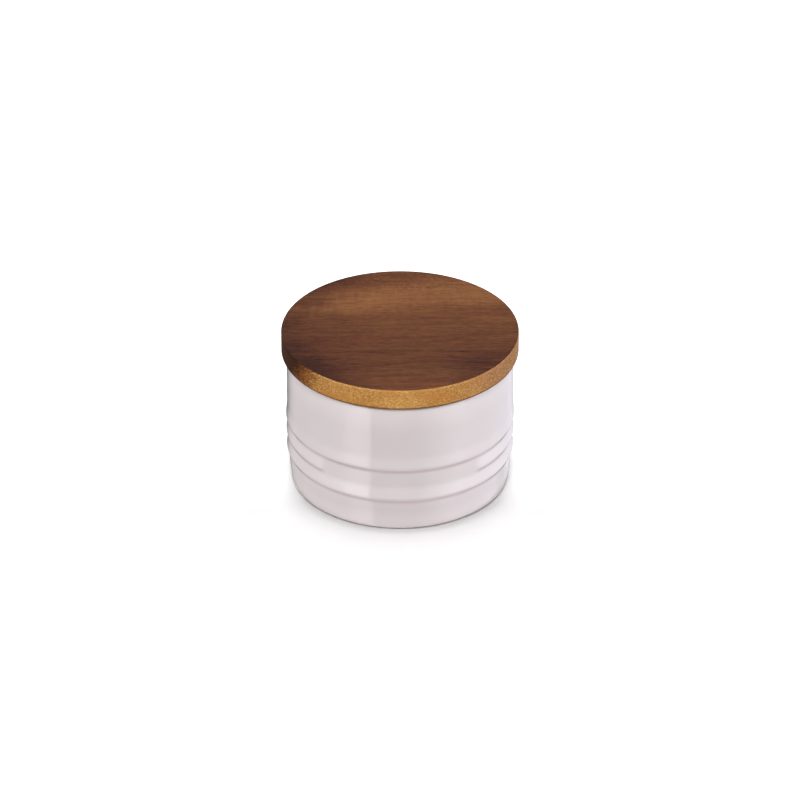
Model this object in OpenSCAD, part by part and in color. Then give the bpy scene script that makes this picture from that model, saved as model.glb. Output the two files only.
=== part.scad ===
// Round stoneware salt jar with a flat wooden lid that lifts off.
// The lid is a turned board with a smaller plug glued under it. A silicone ring
// in a groove round the plug grips the inside of the jar.
// Frame: origin at the centre of the foot, +Z up, front of the jar towards -Y.
// Every piece is round about Z, apart from the gap in the jar's middle ring.

/* [Jar] */
// Outer diameter of the plain upper wall
jar_d = 100.3; // [90:0.1:130]
// Height from the foot to the rim
jar_h = 64.5; // [56:0.5:100]
// Wall thickness at the rim
jar_wall = 5; // [4.2:0.1:7]
// Thickness of the floor, above the hollow in the foot
jar_floor = 5; // [3:0.5:9]
// How far the inside draws in from the mouth to the floor, at radius
inside_draft = 1.2; // [0:0.1:2]
// Radius where the inside wall meets the floor
inside_corner = 8; // [3:0.5:12]
// Rounding of the rim on its outer side
rim_outer_round = 2.4; // [0.8:0.1:2.6]
// Rounding of the rim on its inner side
rim_inner_round = 1.2; // [0.4:0.1:1.5]

/* [Foot] */
// How far the wall below the rings leans in, down to the foot
base_lean = 1; // [0:0.05:1.5]
// Rounding from the wall into the foot
base_round = 2.9; // [1.5:0.1:5]
// Width of the bare ring that the jar stands on
foot_w = 3.6; // [2:0.1:8]
// Depth of the hollow inside the foot ring
foot_hollow = 1; // [0.4:0.1:2]

/* [Rings] */
// How far the upper ring stands out from the upper wall
ring_relief = 0.43; // [0.2:0.01:0.9]
// How much less each lower ring stands out than the one above it
ring_fall = 0.13; // [0:0.01:0.2]
// Height of the upper ring's fullest part above the foot
ring_top = 33.1; // [30:0.1:40]
// Distance from one ring to the next
ring_pitch = 7.6; // [6:0.1:9]
// Height over which a ring swells out of the wall above it
ring_swell = 6.5; // [4:0.1:7]
// Step from the upper ring in to the wall below it
ring_step = 1.1; // [0.8:0.05:1.4]
// Rounding of a ring down to the wall below it
ring_round = 2.4; // [1.6:0.1:3]
// Angle of the bare panel at the front, where the middle ring is left out
panel_angle = 82; // [50:1:120]

/* [Lid] */
// How far the lid stands out past the jar's upper wall, all round
lid_overhang = 2.35; // [1:0.05:4]
// Thickness of the lid board
lid_t = 10; // [6:0.5:16]
// Rounding of the lid's upper edge
lid_top_round = 0.5; // [0.2:0.1:2]
// Rounding of the lid's lower edge
lid_under_round = 0.9; // [0.2:0.1:2]

/* [Plug] */
// Clearance round the plug inside the jar's mouth, at radius
plug_gap = 1; // [0.5:0.1:1.6]
// Depth of the plug below the board
plug_h = 9; // [8:0.5:14]
// Rounding of the plug's lower edge
plug_round = 1.2; // [0.2:0.1:1.8]

/* [Seal] */
// Height of the groove and of the ring that sits in it
seal_h = 4; // [3:0.1:5]
// Depth of the groove in the plug's side
seal_depth = 3; // [2:0.1:5]
// Distance from the board down to the groove
seal_drop = 2.2; // [1:0.1:2.5]
// Clearance between the ring's fins and the jar, at radius
seal_gap = 0.2; // [0.1:0.05:0.3]
// Thickness of a fin at its tip
fin_tip = 0.5; // [0.3:0.05:0.8]
// Thickness of a fin at its root
fin_root = 1; // [0.8:0.05:1.3]

/* [Hidden] */
$fn = 128;

// Small overlap between shapes that are joined into one solid
join = 0.02;
// Play between the ring and the bottom of its groove, at radius
seal_seat = 0.1;

jar_r = jar_d / 2;
bore_r = jar_r - jar_wall;
inside_foot_r = bore_r - inside_draft;
floor_z = foot_hollow + jar_floor;
// Outer radius of the wall below and between the rings, and so of the bare panel
panel_r = jar_r + ring_relief - ring_step;
foot_r = panel_r - base_lean;
stand_r = foot_r - base_round;

lid_r = jar_r + lid_overhang;
plug_r = bore_r - plug_gap;
groove_r = plug_r - seal_depth;
groove_top = jar_h - seal_drop;
groove_foot = groove_top - seal_h;
// Below this height the inside wall starts to draw in
bore_foot = jar_h - plug_h - seal_drop;

// A ring's fullest radius, and its height above the foot. Ring 0 is the upper one.
function ring_r(i) = jar_r + ring_relief - i * ring_fall;
function ring_z(i) = ring_top - i * ring_pitch;
// The swell's curve: it leaves the wall and meets the ring without a corner
function swell(t) = t * t * (3 - 2 * t);

// The middle ring runs out into the panel over this angle at each end. A round that
// is set back from the axis cuts it there, from its fullest radius to the panel.
fade_angle = 7;
fade_full = ring_r(1) * cos(panel_angle / 2 + fade_angle);
fade_foot = panel_r * cos(panel_angle / 2);
fade_shift = (pow(ring_r(1), 2) - pow(panel_r, 2)) / 2 / (fade_foot - fade_full);
fade_r = sqrt(pow(panel_r, 2) + 2 * fade_foot * fade_shift + pow(fade_shift, 2));

// A square corner's waste: what is cut away to round it to radius r.
// It lies towards the corner at the origin, with the material towards +X and +Y.
module corner_waste(r) {
    difference() {
        translate([-join, -join]) square(r + join);
        translate([r, r]) circle(r);
    }
}

// One ring's section: it swells out of the wall above, and rounds back in below
module ring_section(i, wall_r) {
    z = ring_z(i);
    r = ring_r(i);
    polygon([
        [0, z],
        for (t = [1:-1/6:0.1])
            [wall_r + (r - wall_r) * swell(t), z + ring_swell * (1 - t)],
        [wall_r, z + ring_swell],
        [0, z + ring_swell]
    ]);
    translate([r - ring_round, z]) circle(ring_round);
}

// The jar's outline without its middle ring, from the foot to the rim
module jar_section() {
    difference() {
        union() {
            // Wall below and between the rings
            polygon([
                [0, 0],
                [foot_r, 0],
                [foot_r, base_round],
                [panel_r, ring_z(2) - ring_round / 2],
                [panel_r, ring_z(0)],
                [0, ring_z(0)]
            ]);
            ring_section(2, panel_r);
            ring_section(0, jar_r);
            // Upper wall
            translate([0, ring_z(0) + ring_swell - join])
                square([jar_r, jar_h - ring_z(0) - ring_swell + join]);
        }
        translate([foot_r, 0]) mirror([1, 0]) corner_waste(base_round);
        translate([jar_r, jar_h]) rotate(180) corner_waste(rim_outer_round);
    }
}

// The hollow inside the jar
module inside_section() {
    difference() {
        union() {
            polygon([
                [0, floor_z],
                [inside_foot_r, floor_z],
                [inside_foot_r, floor_z + inside_corner],
                [bore_r, bore_foot],
                [bore_r, jar_h + join],
                [0, jar_h + join]
            ]);
            translate([bore_r, jar_h]) mirror([0, 1]) corner_waste(rim_inner_round);
        }
        translate([inside_foot_r, floor_z]) mirror([1, 0]) corner_waste(inside_corner);
    }
}

// The middle ring, cut across at the front so that its ends run out
module middle_ring() {
    intersection() {
        rotate_extrude() ring_section(1, panel_r);
        translate([0, fade_shift, 0]) cylinder(h = jar_h, r = fade_r);
    }
}

module jar() {
    color([0.83, 0.78, 0.79])
    difference() {
        union() {
            rotate_extrude() jar_section();
            middle_ring();
        }
        rotate_extrude() inside_section();
        // Hollow inside the foot ring
        translate([0, 0, -join]) cylinder(h = foot_hollow + join, r = stand_r - foot_w);
    }
}

module lid_board() {
    color([0.45, 0.29, 0.2])
    translate([0, 0, jar_h])
    rotate_extrude()
    difference() {
        square([lid_r, lid_t]);
        translate([lid_r, 0]) mirror([1, 0]) corner_waste(lid_under_round);
        translate([lid_r, lid_t]) rotate(180) corner_waste(lid_top_round);
    }
}

module lid_plug() {
    color([0.78, 0.6, 0.38])
    translate([0, 0, jar_h - plug_h])
    rotate_extrude()
    difference() {
        square([plug_r, plug_h]);
        translate([groove_r, plug_h - seal_drop - seal_h]) square([seal_depth + join, seal_h]);
        translate([plug_r, 0]) mirror([1, 0]) corner_waste(plug_round);
    }
}

// A fin's section: it points out and slightly up from the ring
module fin_section(root_r, tip_r, z) {
    polygon([
        [root_r, z - fin_root / 2],
        [tip_r - fin_tip / 2, z],
        [tip_r - fin_tip / 2, z + fin_tip],
        [root_r, z + fin_root / 2]
    ]);
    translate([tip_r - fin_tip / 2, z + fin_tip / 2]) circle(fin_tip / 2);
}

module lid_seal() {
    back_r = groove_r + seal_seat;
    root_r = plug_r - fin_tip;
    color([0.93, 0.93, 0.91])
    rotate_extrude() {
        translate([back_r, groove_foot]) square([root_r - back_r, seal_h]);
        for (z = [groove_foot + fin_root, groove_top - fin_root])
            fin_section(root_r - join, bore_r - seal_gap, z);
    }
}

jar();
lid_board();
lid_plug();
lid_seal();
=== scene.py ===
import math

import bpy
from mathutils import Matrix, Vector


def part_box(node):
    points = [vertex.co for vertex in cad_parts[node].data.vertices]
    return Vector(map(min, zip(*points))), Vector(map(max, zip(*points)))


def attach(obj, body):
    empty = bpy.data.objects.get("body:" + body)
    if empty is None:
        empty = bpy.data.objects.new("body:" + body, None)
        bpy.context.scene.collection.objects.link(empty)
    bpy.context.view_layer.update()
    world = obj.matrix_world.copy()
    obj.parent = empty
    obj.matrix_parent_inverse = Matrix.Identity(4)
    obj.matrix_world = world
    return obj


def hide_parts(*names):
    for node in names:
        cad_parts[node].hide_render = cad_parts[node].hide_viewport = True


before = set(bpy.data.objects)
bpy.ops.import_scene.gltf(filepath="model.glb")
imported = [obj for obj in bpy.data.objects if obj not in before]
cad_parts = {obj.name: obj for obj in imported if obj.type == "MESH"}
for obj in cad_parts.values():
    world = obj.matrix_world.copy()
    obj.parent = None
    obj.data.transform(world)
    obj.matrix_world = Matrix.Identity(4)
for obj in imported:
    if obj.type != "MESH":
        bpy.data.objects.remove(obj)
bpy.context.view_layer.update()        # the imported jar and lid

mm = 0.001


def deselectAll():
    if bpy.context.object and bpy.context.object.mode != "OBJECT":
        bpy.ops.object.mode_set(mode="OBJECT")
    bpy.ops.object.select_all(action="DESELECT")


def srgb(red, green, blue):
    # a colour as picked on screen, 0 to 255, in the linear values that nodes take
    def linear(byte):
        c = byte / 255
        return c / 12.92 if c <= 0.04045 else ((c + 0.055) / 1.055) ** 2.4
    return (linear(red), linear(green), linear(blue), 1)


view = {
    "aimHeight": 38.4 * mm,
    "distance": 3.107,
    "elevation": 30.84,      # degrees down on the jar
    "lens": 315,
    "sensor": 36,
}


def addCamera():
    tilt = math.radians(view["elevation"])
    back = Vector((0, -math.cos(tilt), math.sin(tilt))) * view["distance"]
    bpy.ops.object.camera_add(
        location=back + Vector((0, 0, view["aimHeight"])),
        rotation=(math.radians(90) - tilt, 0, 0))
    camera = bpy.context.object
    camera.name = "photoCamera"
    camera.data.lens = view["lens"]
    camera.data.sensor_width = view["sensor"]
    bpy.context.scene.camera = camera
    bpy.context.scene.view_settings.view_transform = "Standard"


def addNode(tree, kind, inputs={}, **settings):
    # inputs are plain values, or output sockets that get linked
    node = tree.nodes.new("ShaderNode" + kind)
    for name, value in settings.items():
        setattr(node, name, value)
    for name, value in inputs.items():
        if isinstance(value, bpy.types.NodeSocket):
            tree.links.new(value, node.inputs[name])
        else:
            node.inputs[name].default_value = value
    return node


def calc(tree, operation, a, b=0.0, c=0.0):
    return addNode(tree, "Math", {0: a, 1: b, 2: c}, operation=operation).outputs[0]


def remap(tree, value, low, high, newLow=0.0, newHigh=1.0, kind="SMOOTHSTEP"):
    node = addNode(tree, "MapRange", {
        "Value": value, "From Min": low, "From Max": high,
        "To Min": newLow, "To Max": newHigh}, interpolation_type=kind)
    return node.outputs["Result"]


def aroundZero(tree, value):
    # 0 to 1 becomes -0.5 to 0.5, so that a layer lightens as much as it darkens
    return calc(tree, "SUBTRACT", value, 0.5)


def addLayers(tree, tone, layers):
    # each layer is a value and its strength
    for layer, strength in layers:
        tone = calc(tree, "MULTIPLY_ADD", layer, strength, tone)
    return tone


def split(tree, vector):
    return addNode(tree, "SeparateXYZ", {0: vector}).outputs


def fromAxis(tree, axes):
    flat = addNode(tree, "CombineXYZ", {"X": axes["X"], "Y": axes["Y"]}).outputs[0]
    return addNode(tree, "VectorMath", {0: flat}, operation="LENGTH").outputs["Value"]


def angleFromFront(tree, axes):
    # round Z, 0 towards -Y, in radians
    return calc(tree, "ARCTAN2", axes["X"], calc(tree, "MULTIPLY", axes["Y"], -1.0))


def stretched(tree, vector, scale, turn=(0, 0, 0), move=(0, 0, 0)):
    node = addNode(tree, "Mapping", {
        "Vector": vector, "Scale": scale, "Rotation": turn, "Location": move})
    return node.outputs[0]


def noise(tree, vector, scale=1.0, detail=2.0, roughness=0.5):
    node = addNode(tree, "TexNoise", {
        "Vector": vector, "Scale": scale, "Detail": detail, "Roughness": roughness})
    return node.outputs["Fac"]


def ramp(tree, value, stops, interpolation="LINEAR"):
    # stops are (position, colour) or (position, grey)
    node = addNode(tree, "ValToRGB", {"Fac": value})
    node.color_ramp.interpolation = interpolation
    elements = node.color_ramp.elements
    while len(elements) < len(stops):
        elements.new(0.5)
    for element, (position, colour) in zip(elements, stops):
        element.position = position
        element.color = colour if isinstance(colour, tuple) else (colour, colour, colour, 1)
    return node.outputs["Color"]


def mix(tree, factor, a, b, blend="MIX"):
    return addNode(tree, "Mix", {0: factor, 6: a, 7: b}, data_type="RGBA",
                   blend_type=blend).outputs[2]


def objectCoordinates(tree):
    return addNode(tree, "TexCoord").outputs["Object"]


def addBump(tree, shader, relief, strength, distance):
    bump = addNode(tree, "Bump", {"Height": relief, "Strength": strength, "Distance": distance})
    tree.links.new(bump.outputs[0], shader.inputs["Normal"])


def newMaterial(name):
    material = bpy.data.materials.new(name)
    material.use_nodes = True
    return material, material.node_tree, material.node_tree.nodes["Principled BSDF"]


def newGroup(name, inputs, outputs):
    # sockets are (name, kind, value at the start)
    tree = bpy.data.node_groups.new(name, "ShaderNodeTree")
    for socketName, kind, value in inputs:
        socket = tree.interface.new_socket(
            name=socketName, in_out="INPUT", socket_type="NodeSocket" + kind)
        if value is not None:
            socket.default_value = value
    for socketName, kind in outputs:
        tree.interface.new_socket(
            name=socketName, in_out="OUTPUT", socket_type="NodeSocket" + kind)
    given = tree.nodes.new("NodeGroupInput").outputs
    return tree, given, tree.nodes.new("NodeGroupOutput").inputs


# a fade here and below is two places and the strength at each of them
floorLook = {
    "size": 6.0,
    "colour": srgb(244, 244, 244),
    "grain": (0.3, 0.7, 0.985, 1.0),
    "roughness": 0.9,
    # the sheet glows for the camera alone, so that it is white, but not at the front of the foot,
    # where the shadow lies; at the sides and behind, the glow is painted light over the jar's
    # shadow
    "nearStart": (47.5 * mm, 53.5 * mm, 0.0, 0.12),     # out from the axis
    "nearEnd": (56 * mm, 66 * mm, 1.0, 0.4),
    "besideDepth": (-32 * mm, 6 * mm, 0.0, 0.4),        # along Y
    "besideWidth": (34 * mm, 47 * mm, 0.0, 1.0),        # out from the middle along X
    "besideReach": (52 * mm, 84 * mm, 0.0, 1.0),        # out from the axis
    "far": (66 * mm, 124 * mm, 0.0, 0.45),
    # the glaze mirrors the sheet close to the foot, and the soft boxes further out
    "mirrorEnd": (49.5 * mm, 52 * mm, 0.0, 1.0),
}


def addFloor():
    look = floorLook
    deselectAll()
    bpy.ops.mesh.primitive_plane_add(size=look["size"], location=(0, 0, 0))
    floor = bpy.context.object
    floor.name = "floorSheet"
    material, tree, shader = newMaterial("whiteSheet")
    place = objectCoordinates(tree)
    grain = noise(tree, place, scale=900, detail=3)
    colour = mix(tree, 1.0, look["colour"], remap(tree, grain, *look["grain"]), "MULTIPLY")
    tree.links.new(colour, shader.inputs["Base Color"])
    shader.inputs["Roughness"].default_value = look["roughness"]
    shader.inputs["Specular IOR Level"].default_value = 0.0
    shader.inputs["Emission Color"].default_value = (1, 1, 1, 1)

    axes = split(tree, place)
    away = fromAxis(tree, axes)
    nearby = calc(tree, "MULTIPLY", remap(tree, away, *look["nearStart"]),
                  remap(tree, away, *look["nearEnd"]))
    # painted light: the glow at the sides and behind lifts the jar's shadow there
    sides = remap(tree, calc(tree, "ABSOLUTE", axes["X"]), *look["besideWidth"])
    sides = calc(tree, "MAXIMUM", sides, remap(tree, away, *look["besideReach"]))
    beside = calc(tree, "MULTIPLY", remap(tree, axes["Y"], *look["besideDepth"]), sides)
    glow = calc(tree, "ADD", beside, remap(tree, away, *look["far"]))
    glow = calc(tree, "ADD", glow, nearby)
    lightPath = addNode(tree, "LightPath").outputs
    glow = calc(tree, "MULTIPLY", lightPath["Is Camera Ray"], glow)
    tree.links.new(glow, shader.inputs["Emission Strength"])

    passes = calc(tree, "MULTIPLY", lightPath["Is Glossy Ray"],
                  remap(tree, away, *look["mirrorEnd"]))
    clear = addNode(tree, "BsdfTransparent").outputs[0]
    sheet = addNode(tree, "MixShader", {0: passes, 1: shader.outputs[0], 2: clear})
    tree.links.new(sheet.outputs[0], tree.nodes["Material Output"].inputs["Surface"])
    floor.data.materials.append(material)


studio = {
    "topPlace": (0.0, 0.06, 1.65),      # a little behind, so the shadow comes forward
    "topSize": (0.3, 0.5),
    "topPower": 11.6,
    "frontPlace": (-0.05, -1.2, 1.25),
    "frontSize": (0.6, 0.6),
    "frontPower": 17.3,
}


def addSoftBox(name, place, size, power):
    bpy.ops.object.light_add(type="AREA", location=place)
    light = bpy.context.object
    light.name = name
    light.data.shape = "ELLIPSE"
    light.data.size, light.data.size_y = size
    light.data.energy = power
    light.rotation_euler = (-light.location).to_track_quat("-Z", "Y").to_euler()
    light.visible_glossy = False


grey, warm, cool = (1.0, 1.0, 1.0), (1.0, 0.94, 0.93), (1.0, 0.97, 1.05)
roomLook = {
    "light": 0.13,
    "mirrorLight": 10.3,
    # what the glaze mirrors: degrees round from the camera, light and tint
    "boxes": [
        (-180, 0.04, grey), (-160, 0.08, grey), (-134, 0.48, warm), (-100, 0.65, warm),
        (-60, 0.59, warm), (-53, 0.86, warm), (-44, 0.87, warm), (-31, 0.78, warm),
        (-29, 0.08, grey), (18, 0.08, grey), (60, 1.12, cool), (105, 1.08, cool),
        (140, 0.66, cool), (162, 0.40, cool), (180, 0.04, grey)],
    # from straight down, 0, to straight up, 1
    "boxHeight": [
        (0.0, 0.03), (0.08, 0.1), (0.115, 0.2), (0.19, 0.27), (0.25, 0.31), (0.31, 0.37),
        (0.4, 0.5), (0.55, 0.5), (0.68, 0.04)],
    # low down, the room behind the jar is darker
    "behind": [(-180, 0.3), (-150, 0.35), (-125, 1.0), (125, 1.0), (145, 0.4), (180, 0.2)],
    "behindTop": (0.2, 0.24),
    # a fainter card above the camera lights the swell of each ring
    "cardHeight": [(0.255, 0.0), (0.31, 0.1), (0.4, 0.14), (0.55, 0.1), (0.65, 0.0)],
    "cardAcross": [(-150, 0.0), (-95, 0.3), (-55, 1.0), (40, 1.0), (110, 0.4), (150, 0.0)],
    # the white floor, which the sides of the wall mirror low down
    "floorFoot": (0.2, 0.215, 0.0, 1.0),
    "floorTop": (0.232, 0.242, 1.0, 0.0),
    "floorSides": [
        (-172, 0.0), (-160, 0.05), (-142, 0.04), (-125, 0.0),
        (128, 0.0), (142, 0.025), (160, 0.03), (172, 0.0)],
}


def addRoom():
    # plain soft white for the light, and a room of tall soft boxes that only the glaze sees
    look = roomLook
    world = bpy.data.worlds.new("softRoom")
    bpy.context.scene.world = world
    world.use_nodes = True
    tree = world.node_tree
    way = split(tree, addNode(tree, "TexCoord").outputs["Generated"])
    turn = remap(tree, angleFromFront(tree, way), -math.pi, math.pi, kind="LINEAR")
    rise = remap(tree, way["Z"], -1.0, 1.0, kind="LINEAR")   # 0.5 is the horizon

    def allRound(stops):
        return ramp(tree, turn, [(0.5 + degrees / 360, light) for degrees, light in stops])

    boxes = allRound([(degrees, tuple(light * c for c in tint) + (1,))
                      for degrees, light, tint in look["boxes"]])
    height = ramp(tree, rise, look["boxHeight"])
    behind = allRound(look["behind"])
    behind = mix(tree, remap(tree, rise, *look["behindTop"]), behind, (1, 1, 1, 1))
    mirrored = mix(tree, 1.0, mix(tree, 1.0, boxes, height, "MULTIPLY"), behind, "MULTIPLY")
    card = mix(tree, 1.0, ramp(tree, rise, look["cardHeight"]), allRound(look["cardAcross"]),
               "MULTIPLY")
    mirrored = mix(tree, 1.0, mirrored, card, "ADD")
    floorBand = calc(tree, "MULTIPLY", remap(tree, rise, *look["floorFoot"]),
                     remap(tree, rise, *look["floorTop"]))
    floorBand = mix(tree, 1.0, allRound(look["floorSides"]), floorBand, "MULTIPLY")
    mirrored = mix(tree, 1.0, mirrored, floorBand, "ADD")
    mirrored = addNode(tree, "VectorMath", {0: mirrored, "Scale": look["mirrorLight"]},
                       operation="SCALE").outputs[0]
    plain = look["light"]
    lightPath = addNode(tree, "LightPath").outputs
    seen = mix(tree, lightPath["Is Glossy Ray"], (plain, plain, plain, 1), mirrored)
    seen = mix(tree, lightPath["Is Camera Ray"], seen, (1, 1, 1, 1))
    tree.links.new(seen, tree.nodes["Background"].inputs["Color"])


addCamera()
addFloor()
addRoom()
addSoftBox("topBox", studio["topPlace"], studio["topSize"], studio["topPower"])
addSoftBox("frontBox", studio["frontPlace"], studio["frontSize"], studio["frontPower"])
print("camera, floor and light are in place")


def arc(centre, radius, start, end, steps):
    # points on a round stretch; 0 degrees points outwards and 90 up
    angles = [math.radians(start + (end - start) * i / steps) for i in range(steps + 1)]
    return [(centre[0] + radius * math.cos(a), centre[1] + radius * math.sin(a)) for a in angles]


def drawOutline(name, points):
    # one vertex, drawn out point by point in the XZ plane
    deselectAll()
    bpy.ops.mesh.primitive_plane_add(size=mm, location=(0, 0, 0))
    piece = bpy.context.object
    piece.name = piece.data.name = name
    bpy.ops.object.mode_set(mode="EDIT")
    bpy.ops.mesh.select_all(action="SELECT")
    bpy.ops.mesh.merge(type="CENTER")
    bpy.ops.transform.translate(value=(points[0][0], 0, points[0][1]))
    for start, end in zip(points, points[1:]):
        bpy.ops.mesh.extrude_region_move(
            TRANSFORM_OT_translate={"value": (end[0] - start[0], 0, end[1] - start[1])})
    return piece


turning = {
    "wedges": 8,
    "mergeWithin": 0.004 * mm,
    "sharpFrom": 40,         # degrees; flatter edges are shaded smooth
}


def turnOutline(steps):
    # spins the outline just drawn round Z: one wedge of it first, then copies of the wedge
    wedges = turning["wedges"]
    wedge = math.tau / wedges
    bpy.ops.mesh.select_all(action="SELECT")
    bpy.ops.mesh.spin(steps=steps // wedges, angle=wedge, center=(0, 0, 0), axis=(0, 0, 1))
    bpy.ops.mesh.select_all(action="SELECT")
    bpy.ops.mesh.spin(steps=wedges - 1, angle=math.tau - wedge, dupli=True,
                      center=(0, 0, 0), axis=(0, 0, 1))
    bpy.ops.mesh.select_all(action="SELECT")
    bpy.ops.mesh.remove_doubles(threshold=turning["mergeWithin"])
    bpy.ops.mesh.normals_make_consistent(inside=False)
    bpy.ops.object.mode_set(mode="OBJECT")
    bpy.ops.object.shade_smooth_by_angle(angle=math.radians(turning["sharpFrom"]))


jarShape = {
    "wall": 5 * mm,
    "floor": 6 * mm,             # height of the inside floor above the table
    "flatRings": (12 * mm, 24 * mm),     # where the floor's faces are divided
    "insideDraft": 1.2 * mm,
    "insideCorner": 8 * mm,
    "straightBore": 53.3 * mm,   # above this height the inside is straight for the lid
    "rimOuter": 2.4 * mm,
    "rimInner": 1.2 * mm,
    "baseRound": 2.9 * mm,
    "baseLean": 1 * mm,
    "footLift": 0.6 * mm,        # the glaze stops short of the table, round a narrow bare foot
    # from the glaze's end down to the table: past the bare ring, and share of the lift
    "footCurve": ((0.28 * mm, 0.8), (0.04 * mm, 0.35), (-0.08 * mm, 0)),
    "footWidth": 3.6 * mm,
    "footHollow": 1 * mm,
    "footSoftness": 0.3 * mm,
    "relief": 0.43 * mm,         # the upper ring past the plain wall
    "reliefFall": 0.13 * mm,
    "ringHeights": (33.1 * mm, 25.4 * mm, 17.5 * mm),
    "ringSwell": 6.5 * mm,
    "ringStep": 1.1 * mm,
    "ringRound": 2.4 * mm,
    "ringTurn": 35,              # degrees that the round lip turns before the crease
    "swellStart": 0.45,          # share of a swell that curves; the rest is straight
    "rowHeight": 0.3 * mm,       # of the fine rows of faces round the rings
    "rowsAbove": 1 * mm,         # past the top of the upper ring's swell
    "rowsBelow": 4.5 * mm,       # past the lower ring
    "panelHalf": 41,             # degrees; the middle ring is left out between these
    "panelFade": 5.5,
    "outsideDepth": 2 * mm,      # faces deeper than this behind the panel are the inside
    "leastPush": 0.0005,         # share of the ring; less than this is left flat
    "turnSteps": 360,
}
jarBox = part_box("jar")
jarRadius = jarBox[1].x - jarShape["relief"]
panelRadius = jarBox[1].x - jarShape["ringStep"]


def ringHeight(index, z):
    # how far the wall stands out past the bare panel because of one ring, at height z
    s = jarShape
    wall = jarRadius - panelRadius if index == 0 else 0.0
    crest = jarBox[1].x - index * s["reliefFall"] - panelRadius
    above = z - s["ringHeights"][index]
    start, straight = s["swellStart"], 1 - s["swellStart"] / 2
    slope = 0.0      # where the straight of the swell runs into the round lip
    for _ in range(8):
        rest = crest - wall - s["ringRound"] * (1 - math.cos(slope))
        slope = math.atan(rest / (s["ringSwell"] - s["ringRound"] * math.sin(slope)) / straight)
    lipTop = s["ringRound"] * math.sin(slope)
    turn = math.radians(s["ringTurn"])
    creaseRound = crest / (1 - math.cos(turn)) - s["ringRound"]
    if above >= lipTop:
        t = max(0.0, (s["ringSwell"] - above) / (s["ringSwell"] - lipTop))
        share = t * t / 2 / start if t < start else t - start / 2
        return wall + rest * share / straight
    if above >= -s["ringRound"] * math.sin(turn):
        return crest - s["ringRound"] + math.sqrt(s["ringRound"] ** 2 - above ** 2)
    foot = -(s["ringRound"] + creaseRound) * math.sin(turn)
    if above <= foot:
        return 0.0
    return creaseRound - math.sqrt(creaseRound ** 2 - (above - foot) ** 2)


def wallRadius(z):
    # the outside wall with its upper and lower rings
    leanTop = jarShape["ringHeights"][2] - jarShape["ringSwell"] / 2
    share = max(0.0, (leanTop - z) / (leanTop - jarShape["baseRound"]))
    lean = jarShape["baseLean"] * share
    return panelRadius + ringHeight(0, z) + ringHeight(2, z) - lean


def jarOutline():
    s = jarShape
    top = jarBox[1].z
    bore = jarRadius - s["wall"]
    draftFoot = s["floor"] + s["insideCorner"]
    insideFoot = bore - s["insideDraft"]
    points = [(r, s["floor"]) for r in (0, *s["flatRings"])]
    points += arc((insideFoot - s["insideCorner"], draftFoot), s["insideCorner"], -90, 0, 12)
    points += [(insideFoot + s["insideDraft"] * i / 8,
                draftFoot + (s["straightBore"] - draftFoot) * i / 8) for i in range(1, 9)]
    points += arc((bore + s["rimInner"], top - s["rimInner"]), s["rimInner"], 180, 90, 8)
    # down the plain upper wall and over the rings
    wallTop = top - s["rimOuter"]
    points += arc((jarRadius - s["rimOuter"], wallTop), s["rimOuter"], 90, 0, 14)
    ringTop = s["ringHeights"][0] + s["ringSwell"] + s["rowsAbove"]
    ringFoot = s["ringHeights"][2] - s["rowsBelow"]
    points += [(jarRadius, wallTop - (wallTop - ringTop) * i / 8) for i in range(1, 8)]
    rows = round((ringTop - ringFoot) / s["rowHeight"])
    heights = [ringTop - (ringTop - ringFoot) * i / rows for i in range(rows + 1)]
    heights += [ringFoot - (ringFoot - s["baseRound"]) * i / 6 for i in range(1, 6)]
    points += [(wallRadius(z), z) for z in heights]
    # the foot: its rounding, the bare ring and the hollow inside it
    outer = wallRadius(s["baseRound"])
    stand = outer - s["baseRound"]
    lifted = s["baseRound"] - s["footLift"]
    points += arc((outer - lifted, s["baseRound"]), lifted, 0, -90, 14)
    points += [(stand + past, s["footLift"] * share) for past, share in s["footCurve"]]
    inner = stand - s["footWidth"]
    soft = s["footSoftness"]
    points += arc((inner + soft, soft), soft, -90, -180, 4)
    points += arc((inner - soft * 2, s["footHollow"] - soft * 2), soft * 2, 0, 90, 5)
    points += [(r, s["footHollow"]) for r in (*reversed(s["flatRings"]), 0)]
    return points


def raiseMiddleRing(jar):
    # pushes the middle ring out of the wall, fading at both ends of the bare front panel
    group = jar.vertex_groups.new(name="middleRing")
    crest = ringHeight(1, jarShape["ringHeights"][1])
    for vertex in jar.data.vertices:
        x, y, z = vertex.co
        if math.hypot(x, y) < panelRadius - jarShape["outsideDepth"]:
            continue
        fromFront = abs(math.degrees(math.atan2(x, -y)))
        t = min(1.0, max(0.0, (fromFront - jarShape["panelHalf"]) / jarShape["panelFade"]))
        weight = ringHeight(1, z) / crest * t * t * (3 - 2 * t)
        if weight > jarShape["leastPush"]:
            group.add([vertex.index], weight, "REPLACE")
    push = jar.modifiers.new("middleRing", "DISPLACE")
    push.direction = "NORMAL"
    push.vertex_group = group.name
    push.strength = crest
    push.mid_level = 0
    bpy.ops.object.modifier_apply(modifier=push.name)
    jar.vertex_groups.clear()


def makeJar():
    jar = drawOutline("jar_glazed", jarOutline())
    turnOutline(jarShape["turnSteps"])
    raiseMiddleRing(jar)
    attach(jar, "jar")
    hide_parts("jar")
    return jar


boardShape = {
    "topRound": 0.5 * mm,
    "underRound": 0.9 * mm,
    "faceRings": (0, 10 * mm, 20 * mm, 30 * mm, 40 * mm, 48 * mm),   # divide its flat faces
    "sideRings": (0.3, 0.5, 0.7, 0.85),      # shares of its height
    "turnSteps": 256,
}
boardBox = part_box("lid_board")


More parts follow.
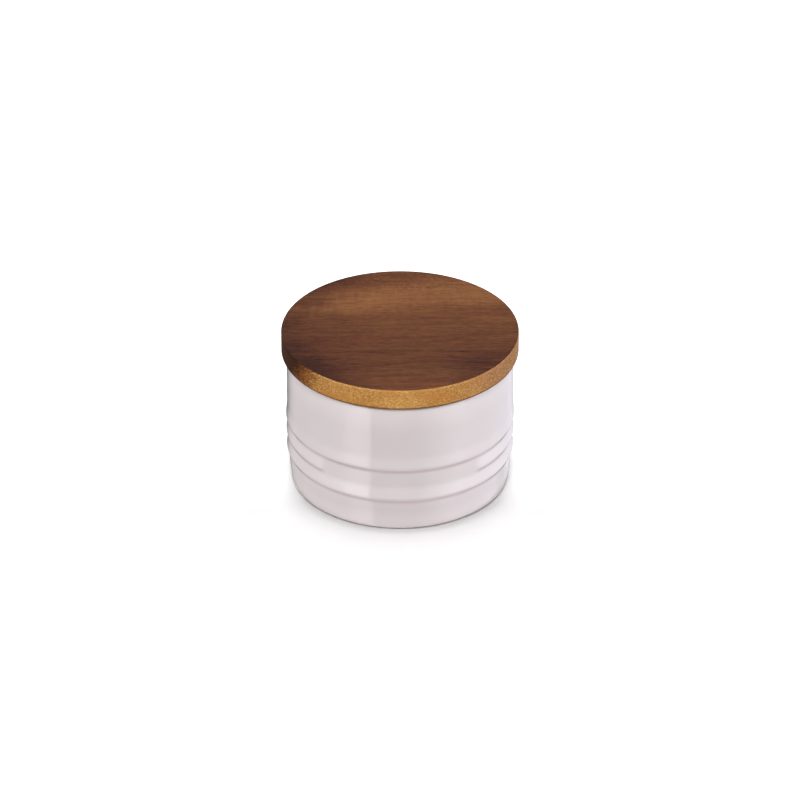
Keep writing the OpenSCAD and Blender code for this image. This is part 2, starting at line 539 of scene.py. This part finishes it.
def makeBoard():
    s = boardShape
    radius, low, high = boardBox[1].x, boardBox[0].z, boardBox[1].z
    points = [(r, low) for r in s["faceRings"]]
    points += arc((radius - s["underRound"], low + s["underRound"]), s["underRound"], -90, 0, 8)
    points += [(radius, low + (high - low) * share) for share in s["sideRings"]]
    points += arc((radius - s["topRound"], high - s["topRound"]), s["topRound"], 0, 90, 8)
    points += [(r, high) for r in reversed(s["faceRings"])]
    board = drawOutline("lid_board_turned", points)
    turnOutline(s["turnSteps"])
    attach(board, "lid")
    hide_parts("lid_board")
    return board


plugShape = {
    "faceRings": (0, 12 * mm, 24 * mm, 36 * mm),
    "underRound": 1.2 * mm,
    "grooveDepth": 3 * mm,
    "grooveTop": 62.3 * mm,
    "grooveFoot": 58.3 * mm,
    "grooveSoftness": 0.2 * mm,
    "turnSteps": 256,
}
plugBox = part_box("lid_plug")


def makePlug():
    s = plugShape
    radius, low, high = plugBox[1].x, plugBox[0].z, plugBox[1].z
    groove = radius - s["grooveDepth"]
    soft = s["grooveSoftness"]
    points = [(r, low) for r in s["faceRings"]]
    points += arc((radius - s["underRound"], low + s["underRound"]), s["underRound"], -90, 0, 8)
    points += arc((radius - soft, s["grooveFoot"] - soft), soft, 0, 90, 4)
    points += arc((groove + soft, s["grooveFoot"] + soft), soft, -90, -180, 4)
    points += arc((groove + soft, s["grooveTop"] - soft), soft, 180, 90, 4)
    points += arc((radius - soft, s["grooveTop"] + soft), soft, -90, 0, 4)
    points += [(radius, high), (s["faceRings"][2], high), (0, high)]
    plug = drawOutline("lid_plug_turned", points)
    turnOutline(s["turnSteps"])
    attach(plug, "lid")
    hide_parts("lid_plug")
    return plug


sealShape = {
    "seat": 0.1 * mm,            # clear of the bottom of the groove
    "finTip": 0.5 * mm,
    "finRoot": 1 * mm,
    "finLift": 0.02 * mm,        # of the fin's lower side at its root
    "rootRadius": 43.65 * mm,
    "softness": 0.25 * mm,
    "finHeights": (59.3 * mm, 61.3 * mm),
    "turnSteps": 256,
}
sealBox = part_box("lid_seal")


def makeSeal():
    # a squared ring with two fins that point out and slightly up
    s = sealShape
    soft, tip = s["softness"], s["finTip"] / 2
    back = plugBox[1].x - plugShape["grooveDepth"] + s["seat"]
    low, high = sealBox[0].z, sealBox[1].z
    points = arc((back + soft, low + soft), soft, -180, -90, 4)
    points += arc((s["rootRadius"] - soft, low + soft), soft, -90, 0, 4)
    for height in s["finHeights"]:
        points += [(s["rootRadius"], height - s["finRoot"] / 2 + s["finLift"])]
        points += arc((sealBox[1].x - tip, height + tip), tip, -90, 90, 8)
        points += [(s["rootRadius"], height + s["finRoot"] / 2)]
    points += arc((s["rootRadius"] - soft, high - soft), soft, 0, 90, 4)
    points += arc((back + soft, high - soft), soft, 90, 180, 4)
    points += [points[0]]
    seal = drawOutline("lid_seal_moulded", points)
    turnOutline(s["turnSteps"])
    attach(seal, "lid")
    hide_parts("lid_seal")
    return seal


glazeLook = {
    "body": srgb(214, 204, 205),
    "thin": srgb(222, 214, 214),
    "thinPatches": (0.3, 0.7, 0.0, 0.25),
    "outside": (47.5 * mm, 48.2 * mm),           # out from the axis
    # the glaze pools in the crease under each ring, and its darker colour there is also painted
    # shade
    "poolAndShade": srgb(203, 184, 187),
    "poolAndShadeShare": 0.75,
    "creaseDrop": 2.1 * mm,
    "creaseWidth": 1.5 * mm,
    # painted light: the glaze is lighter near the foot, for light thrown up by the white floor,
    # and under the rim, where it lifts the shade under the lid
    "paintedLightColour": srgb(227, 217, 218),
    "paintedLightFoot": (4 * mm, 12 * mm, 1.0, 0.0),
    "paintedLightRim": (49 * mm, 62 * mm, 0.0, 0.8),
    # the ring that the jar stands on is wiped bare
    "bare": srgb(214, 203, 187),
    "bareGrit": srgb(190, 176, 158),
    "bareHeight": 0.35 * mm,
    "bareRoughness": 0.7,
    "roughness": 0.09,
    "roughPatches": (0.35, 0.65, 0.0, 0.03),
    "refraction": 1.5,
    "waviness": 0.06,
    "waveDepth": 0.2 * mm,
}


def addRingMask(tree, height, fromFront):
    # 1 in the crease under each ring, 0 elsewhere; the middle ring stops at the front panel
    creases = 0.0
    for index, ring in enumerate(jarShape["ringHeights"]):
        away = calc(tree, "SUBTRACT", height, ring - glazeLook["creaseDrop"])
        away = calc(tree, "ABSOLUTE", away)
        crease = remap(tree, away, 0.0, glazeLook["creaseWidth"], 1.0, 0.0)
        if index == 1:
            half = math.radians(jarShape["panelHalf"])
            fade = math.radians(jarShape["panelFade"])
            crease = calc(tree, "MULTIPLY", crease, remap(tree, fromFront, half, half + fade))
        creases = calc(tree, "MAXIMUM", creases, crease)
    return creases


def makeGlaze():
    look = glazeLook
    material, tree, shader = newMaterial("pinkGlaze")
    place = objectCoordinates(tree)
    axes = split(tree, place)
    height = axes["Z"]
    outside = remap(tree, fromAxis(tree, axes), *look["outside"])
    fromFront = calc(tree, "ABSOLUTE", angleFromFront(tree, axes))
    cloud = noise(tree, place, scale=45, detail=3)
    colour = mix(tree, remap(tree, cloud, *look["thinPatches"]), look["body"], look["thin"])
    # darker in the creases: partly pooled glaze, partly painted shade
    poolAndShade = calc(tree, "MULTIPLY", addRingMask(tree, height, fromFront), outside)
    poolAndShade = calc(tree, "MULTIPLY", poolAndShade, look["poolAndShadeShare"])
    colour = mix(tree, poolAndShade, colour, look["poolAndShade"])
    # painted light near the foot and under the rim
    paintedLightShare = calc(tree, "ADD", remap(tree, height, *look["paintedLightFoot"]),
                    remap(tree, height, *look["paintedLightRim"]))
    colour = mix(tree, calc(tree, "MULTIPLY", paintedLightShare, outside), colour, look["paintedLightColour"])
    bare = remap(tree, height, look["bareHeight"] * 0.8, look["bareHeight"] * 1.2, 1.0, 0.0)
    grit = noise(tree, place, scale=2600, detail=4, roughness=0.7)
    clay = mix(tree, remap(tree, grit, 0.35, 0.65), look["bare"], look["bareGrit"])
    tree.links.new(mix(tree, bare, colour, clay), shader.inputs["Base Color"])

    rough = calc(tree, "ADD", look["roughness"], remap(tree, cloud, *look["roughPatches"]))
    rough = calc(tree, "MULTIPLY_ADD", bare, look["bareRoughness"], rough)
    tree.links.new(rough, shader.inputs["Roughness"])
    shader.inputs["IOR"].default_value = look["refraction"]
    # the glaze's faint waviness, and the bare clay's grit
    wave = noise(tree, place, scale=160, detail=1)
    relief = calc(tree, "MULTIPLY_ADD", bare, grit, wave)
    addBump(tree, shader, relief, look["waviness"], look["waveDepth"])
    return material


grainShape = {       # scales along and across the grain, which runs along X
    "drift": (14, 30, 30),
    "driftSpan": 6.0,
    "streaks": (32, 400, 400),
    "fibres": (230, 2300, 2300),
    "slow": (9, 120, 120),
    "levels": 16.0,          # year lines between the slow noise's lows and highs
    "lineWidth": 0.22,
    "dashes": (330, 3600, 3600),
    "pores": (0.60, 0.70),
    "ripple": (520, 110, 300),
}


def buildWoodGrain():
    # broad streaks, fine fibres, pores and a rippled figure, all 0 to 1
    shape = grainShape
    tree, given, out = newGroup("woodGrain", [
        ("Vector", "Vector", None), ("Wander", "Float", 1.2 * mm), ("Seed", "Float", 0.0)], [
        ("Streaks", "Float"), ("Fibres", "Float"), ("Lines", "Float"), ("Pores", "Float"),
        ("Ripple", "Float"), ("Vector", "Vector")])

    def moved(vector, parts):
        by = addNode(tree, "CombineXYZ", parts).outputs[0]
        return addNode(tree, "VectorMath", {0: vector, 1: by}, operation="ADD").outputs[0]

    start = moved(given["Vector"], {"X": given["Seed"], "Z": given["Seed"]})
    drift = noise(tree, stretched(tree, start, shape["drift"]), detail=2)
    sway = calc(tree, "MULTIPLY", aroundZero(tree, drift), given["Wander"])
    sway = calc(tree, "MULTIPLY", sway, shape["driftSpan"])
    bent = moved(start, {"Y": sway, "Z": sway})
    streaks = noise(tree, stretched(tree, bent, shape["streaks"]), detail=5, roughness=0.62)
    fibres = noise(tree, stretched(tree, bent, shape["fibres"]), detail=3, roughness=0.65)
    # thin dark year lines, where a slow noise passes each of a row of levels
    slow = noise(tree, stretched(tree, bent, shape["slow"]), detail=2)
    level = calc(tree, "FRACT", calc(tree, "MULTIPLY", slow, shape["levels"]))
    offLine = calc(tree, "ABSOLUTE", aroundZero(tree, level))
    lines = remap(tree, offLine, 0.0, shape["lineWidth"], 1.0, 0.0)
    dashes = noise(tree, stretched(tree, bent, shape["dashes"], move=(7, 3, 5)), detail=1)
    ripple = noise(tree, stretched(tree, bent, shape["ripple"], turn=(0, 0, 0.25)), detail=2)
    tree.links.new(streaks, out["Streaks"])
    tree.links.new(fibres, out["Fibres"])
    tree.links.new(lines, out["Lines"])
    tree.links.new(remap(tree, dashes, *shape["pores"]), out["Pores"])
    tree.links.new(ripple, out["Ripple"])
    tree.links.new(bent, out["Vector"])
    return tree


def useGrain(tree, grain, place, look):
    return addNode(tree, "Group", {
        "Vector": place, "Wander": look["wander"], "Seed": look["seed"]}, node_tree=grain).outputs


def finishWood(tree, shader, wood, colour, look):
    tree.links.new(colour, shader.inputs["Base Color"])
    rough = addLayers(tree, look["roughness"], [
        (wood["Pores"], look["poreRoughness"]), (wood["Fibres"], look["fibreRoughness"])])
    tree.links.new(rough, shader.inputs["Roughness"])
    # raised fibres and open pores
    relief = calc(tree, "MULTIPLY_ADD", wood["Pores"], -1.0, wood["Fibres"])
    addBump(tree, shader, relief, look["bump"], look["bumpDepth"])


boardLook = {
    "wander": 1.3 * mm,
    "seed": 0.0,
    # the face's broad bands, from the front, 0, to the back, 1
    "bandSlant": -0.12,
    "bands": [
        (0.00, 0.40), (0.09, 0.39), (0.15, 0.40), (0.20, 0.34), (0.26, 0.32), (0.33, 0.40),
        (0.42, 0.39), (0.50, 0.45), (0.57, 0.48), (0.60, 0.50), (0.62, 0.45), (0.66, 0.62),
        (0.72, 0.80), (0.84, 0.76), (0.90, 0.58), (0.94, 0.50), (1.00, 0.66)],
    # how much each layer of the figure lightens or darkens the face
    "streaks": 0.6,
    "fibres": 0.8,
    "cloud": 0.2,
    "lines": -0.1,
    "pores": -0.12,
    "lift": 0.04,
    "ripple": 0.05,
    "rippleInBand": 0.22,
    "rippleFront": (0.62, 0.7, 0.0, 1.0),        # shares of the way to the back
    "rippleBack": (0.82, 0.9, 1.0, 0.0),
    # short curly figure near the back, strongest in the middle
    "curl": 0.08,
    "curlFront": (24 * mm, 42 * mm, 0.0, 0.6),
    "curlMiddle": 5 * mm,
    "curlAcross": (10 * mm, 36 * mm, 1.0, 0.4),
    # darker places, each with its fades and its shade
    "leftRim": (34 * mm, 52 * mm, 0.0, 1.0),     # out from the axis
    "leftEnd": (-34 * mm, -6 * mm, 1.0, 0.0),
    "leftShade": -0.16,
    "leftHalf": (-44 * mm, -8 * mm, 1.0, 0.0),
    "leftHalfShade": -0.16,
    "front": (-34 * mm, -4 * mm, 1.0, 0.0),
    "frontLeft": (-42 * mm, -12 * mm, 0.25, 0.0),
    "frontRight": (14 * mm, 40 * mm, 0.0, 1.0),
    "frontShade": -0.22,
    "backLeftSlant": -0.55,
    "backLeft": (36 * mm, 50 * mm, 0.0, 1.0),
    "backLeftShade": -0.1,
    "faceColours": [
        (0.0, srgb(66, 43, 38)), (0.3, srgb(97, 62, 47)),
        (0.55, srgb(117, 77, 53)), (0.95, srgb(150, 102, 67))],
    "redStreaks": (0.42, 0.62, 0.0, 0.7),
    "reddish": (1.03, 0.95, 1.0, 1),             # tints the face
    "faceDepth": 0.16 * mm,
    # the side and the underside, lighter in the middle of the front and of the back, as a painted
    # sheen
    "sideSheenTone": (3 * mm, 12 * mm, 0.66, 0.5),
    "sideFleck": 1.8,
    "sidePatches": 0.6,
    "sidePores": -0.15,
    # a painted highlight along the top arris, on the upper part of the side
    "arris": (-1.5 * mm, -0.6 * mm, 0.0, 1.0),   # up to the face
    "arrisHighlight": 0.16,
    "sideColours": [
        (0.05, srgb(156, 96, 44)), (0.5, srgb(192, 140, 78)), (0.95, srgb(226, 182, 112))],
    "sideRed": srgb(192, 126, 66),
    "redPatches": (0.45, 0.7, 0.0, 0.6),
    "sideDull": srgb(196, 146, 122),
    "rightEnd": (20 * mm, 46 * mm, 0.0, 1.0),
    "rightDull": 0.36,
    "rightFleck": (0.36, 0.64, 0.8, 1.18),
    # dark heartwood at the side's left end, with a ragged slanting border
    "heartColours": [(0.1, srgb(55, 30, 14)), (0.55, srgb(140, 86, 46))],
    "heartPlace": (-50 * mm, -35 * mm),
    "heartBorder": (0.45, 0.95, 0.0, 1.0),
    "heartSlant": -0.34,
    "heartRagged": 9 * mm,
    "heartFlecked": 10 * mm,
    "heartFleck": (0.36, 0.64, 0.6, 1.5),
    # painted shade: a darker band along the lower arris, which faces down
    "lowArrisShade": (0.5 * mm, 1.4 * mm, 0.9, 0.0),  # up from the underside
    "lowArrisShadeColour": srgb(92, 58, 32),
    "roughness": 0.52,
    "poreRoughness": 0.2,
    "fibreRoughness": 0.12,
    "refraction": 1.45,
    "shine": 0.015,
    "bump": 0.25,
    "bumpDepth": 0.08 * mm,
}


def boardFace(tree, place, axes, wood):
    look = boardLook
    radius = boardBox[1].x
    slanted = calc(tree, "MULTIPLY_ADD", axes["X"], look["bandSlant"],
                   split(tree, wood["Vector"])["Y"])
    across = remap(tree, slanted, -radius, radius, kind="LINEAR")
    bands = ramp(tree, across, look["bands"], "B_SPLINE")
    cloud = noise(tree, stretched(tree, wood["Vector"], (60, 110, 110)), detail=2)
    rippled = calc(tree, "MULTIPLY", remap(tree, across, *look["rippleFront"]),
                   remap(tree, across, *look["rippleBack"]))
    rippled = calc(tree, "MULTIPLY_ADD", rippled, look["rippleInBand"], look["ripple"])
    curl = noise(tree, stretched(tree, place, (560, 430, 430), turn=(0, 0, 0.5)), detail=3,
                 roughness=0.65)
    offMiddle = calc(tree, "ABSOLUTE", calc(tree, "SUBTRACT", axes["X"], look["curlMiddle"]))
    curled = calc(tree, "MULTIPLY", remap(tree, axes["Y"], *look["curlFront"]),
                  remap(tree, offMiddle, *look["curlAcross"]))
    curled = calc(tree, "ADD", curled, look["curl"])

    leftEnd = calc(tree, "MULTIPLY", remap(tree, fromAxis(tree, axes), *look["leftRim"]),
                   remap(tree, axes["X"], *look["leftEnd"]))
    frontSides = calc(tree, "MAXIMUM", remap(tree, axes["X"], *look["frontLeft"]),
                      remap(tree, axes["X"], *look["frontRight"]))
    frontSides = calc(tree, "MULTIPLY", remap(tree, axes["Y"], *look["front"]), frontSides)
    backLeft = calc(tree, "MULTIPLY_ADD", axes["X"], look["backLeftSlant"], axes["Y"])
    tone = addLayers(tree, bands, [
        (aroundZero(tree, wood["Streaks"]), look["streaks"]),
        (aroundZero(tree, wood["Fibres"]), look["fibres"]),
        (aroundZero(tree, wood["Ripple"]), rippled),
        (aroundZero(tree, cloud), look["cloud"]),
        (aroundZero(tree, curl), curled),
        (wood["Lines"], look["lines"]),
        (wood["Pores"], look["pores"]),
        (remap(tree, backLeft, *look["backLeft"]), look["backLeftShade"]),
        (leftEnd, look["leftShade"]),
        (remap(tree, axes["X"], *look["leftHalf"]), look["leftHalfShade"]),
        (frontSides, look["frontShade"])])
    face = ramp(tree, calc(tree, "ADD", tone, look["lift"]), look["faceColours"])
    # redder streaks here and there
    redness = stretched(tree, wood["Vector"], (18, 150, 150), move=(2, 5, 1))
    redness = remap(tree, noise(tree, redness, detail=3), *look["redStreaks"])
    return mix(tree, redness, face, look["reddish"], "MULTIPLY")


def boardSide(tree, place, axes, wood):
    # lighter wood in short wavy flecks, redder in patches and duller towards the right
    look = boardLook
    belowFace = calc(tree, "SUBTRACT", axes["Z"], boardBox[1].z)
    aboveFoot = calc(tree, "SUBTRACT", axes["Z"], boardBox[0].z)
    fleck = noise(tree, stretched(tree, wood["Vector"], (900, 1500, 1500), turn=(0.4, 0.7, 0.2)),
                  detail=3, roughness=0.6)
    patch = noise(tree, place, scale=34, detail=2)
    # painted sheen: the side is lighter where X is near 0
    middle = remap(tree, calc(tree, "ABSOLUTE", axes["X"]), *look["sideSheenTone"])
    tone = addLayers(tree, middle, [
        (aroundZero(tree, fleck), look["sideFleck"]),
        # painted highlight along the top arris
        (remap(tree, belowFace, *look["arris"]), look["arrisHighlight"]),
        (aroundZero(tree, patch), look["sidePatches"]),
        (wood["Pores"], look["sidePores"])])
    side = ramp(tree, tone, look["sideColours"])
    warmth = noise(tree, stretched(tree, place, (70, 70, 190), move=(3, 1, 2)), detail=3)
    side = mix(tree, remap(tree, warmth, *look["redPatches"]), side, look["sideRed"])
    rightEnd = remap(tree, axes["X"], *look["rightEnd"])
    side = mix(tree, calc(tree, "MULTIPLY", rightEnd, look["rightDull"]), side, look["sideDull"])
    side = mix(tree, rightEnd, side, remap(tree, fleck, *look["rightFleck"]), "MULTIPLY")

    slant = calc(tree, "MULTIPLY_ADD", aboveFoot, look["heartSlant"], axes["X"])
    ragged = addLayers(tree, slant, [
        (aroundZero(tree, wood["Streaks"]), look["heartRagged"]),
        (aroundZero(tree, fleck), look["heartFlecked"])])
    outwards = remap(tree, ragged, *look["heartPlace"], kind="LINEAR")
    heart = ramp(tree, outwards, look["heartColours"])
    heart = mix(tree, 1.0, heart, remap(tree, fleck, *look["heartFleck"]), "MULTIPLY")
    side = mix(tree, remap(tree, outwards, *look["heartBorder"]), heart, side)
    # painted shade along the lower arris
    return mix(tree, remap(tree, aboveFoot, *look["lowArrisShade"]), side, look["lowArrisShadeColour"])


def makeBoardWood(grain):
    look = boardLook
    material, tree, shader = newMaterial("acaciaBoard")
    place = objectCoordinates(tree)
    axes = split(tree, place)
    wood = useGrain(tree, grain, place, look)
    onFace = remap(tree, axes["Z"], boardBox[1].z - look["faceDepth"] * 1.3,
                   boardBox[1].z - look["faceDepth"] * 0.7)
    colour = mix(tree, onFace, boardSide(tree, place, axes, wood),
                 boardFace(tree, place, axes, wood))
    finishWood(tree, shader, wood, colour, look)
    shader.inputs["IOR"].default_value = look["refraction"]
    shader.inputs["Specular IOR Level"].default_value = look["shine"]
    return material


plugLook = {
    "wander": 1.6 * mm,
    "seed": 0.4,
    "middle": 0.5,
    "streaks": 1.6,
    "fibres": 0.5,
    "pores": -0.25,
    "colours": [
        (0.05, srgb(132, 86, 48)), (0.5, srgb(182, 132, 78)), (0.95, srgb(209, 166, 108))],
    "roughness": 0.5,
    "poreRoughness": 0.0,
    "fibreRoughness": 0.15,
    "bump": 0.25,
    "bumpDepth": 0.08 * mm,
}


def makePlugWood(grain):
    look = plugLook
    material, tree, shader = newMaterial("acaciaPlug")
    wood = useGrain(tree, grain, objectCoordinates(tree), look)
    tone = addLayers(tree, look["middle"], [
        (aroundZero(tree, wood["Streaks"]), look["streaks"]),
        (aroundZero(tree, wood["Fibres"]), look["fibres"]),
        (wood["Pores"], look["pores"])])
    finishWood(tree, shader, wood, ramp(tree, tone, look["colours"]), look)
    return material


siliconeLook = {
    "clear": srgb(226, 226, 220),
    "milky": srgb(238, 238, 234),
    "roughness": (0.34, 0.46),
    "refraction": 1.41,
    "scatter": 0.3,
    "scatterColour": (1, 0.95, 0.9),
    "scatterDepth": 1.5 * mm,
}


def makeSilicone():
    look = siliconeLook
    material, tree, shader = newMaterial("whiteSilicone")
    haze = noise(tree, objectCoordinates(tree), scale=260, detail=3)
    colour = mix(tree, remap(tree, haze, 0.3, 0.7), look["clear"], look["milky"])
    tree.links.new(colour, shader.inputs["Base Color"])
    rough = remap(tree, haze, 0.3, 0.7, *look["roughness"])
    tree.links.new(rough, shader.inputs["Roughness"])
    shader.inputs["IOR"].default_value = look["refraction"]
    shader.inputs["Subsurface Weight"].default_value = look["scatter"]
    shader.inputs["Subsurface Radius"].default_value = look["scatterColour"]
    shader.inputs["Subsurface Scale"].default_value = look["scatterDepth"]
    return material


jar = makeJar()
print("jar made,", len(jar.data.polygons), "faces")
board, plug, seal = makeBoard(), makePlug(), makeSeal()
print("lid made,", len(board.data.polygons), "faces in the board")
woodGrain = buildWoodGrain()
jar.data.materials.append(makeGlaze())
board.data.materials.append(makeBoardWood(woodGrain))
plug.data.materials.append(makePlugWood(woodGrain))
seal.data.materials.append(makeSilicone())
print("materials are on")
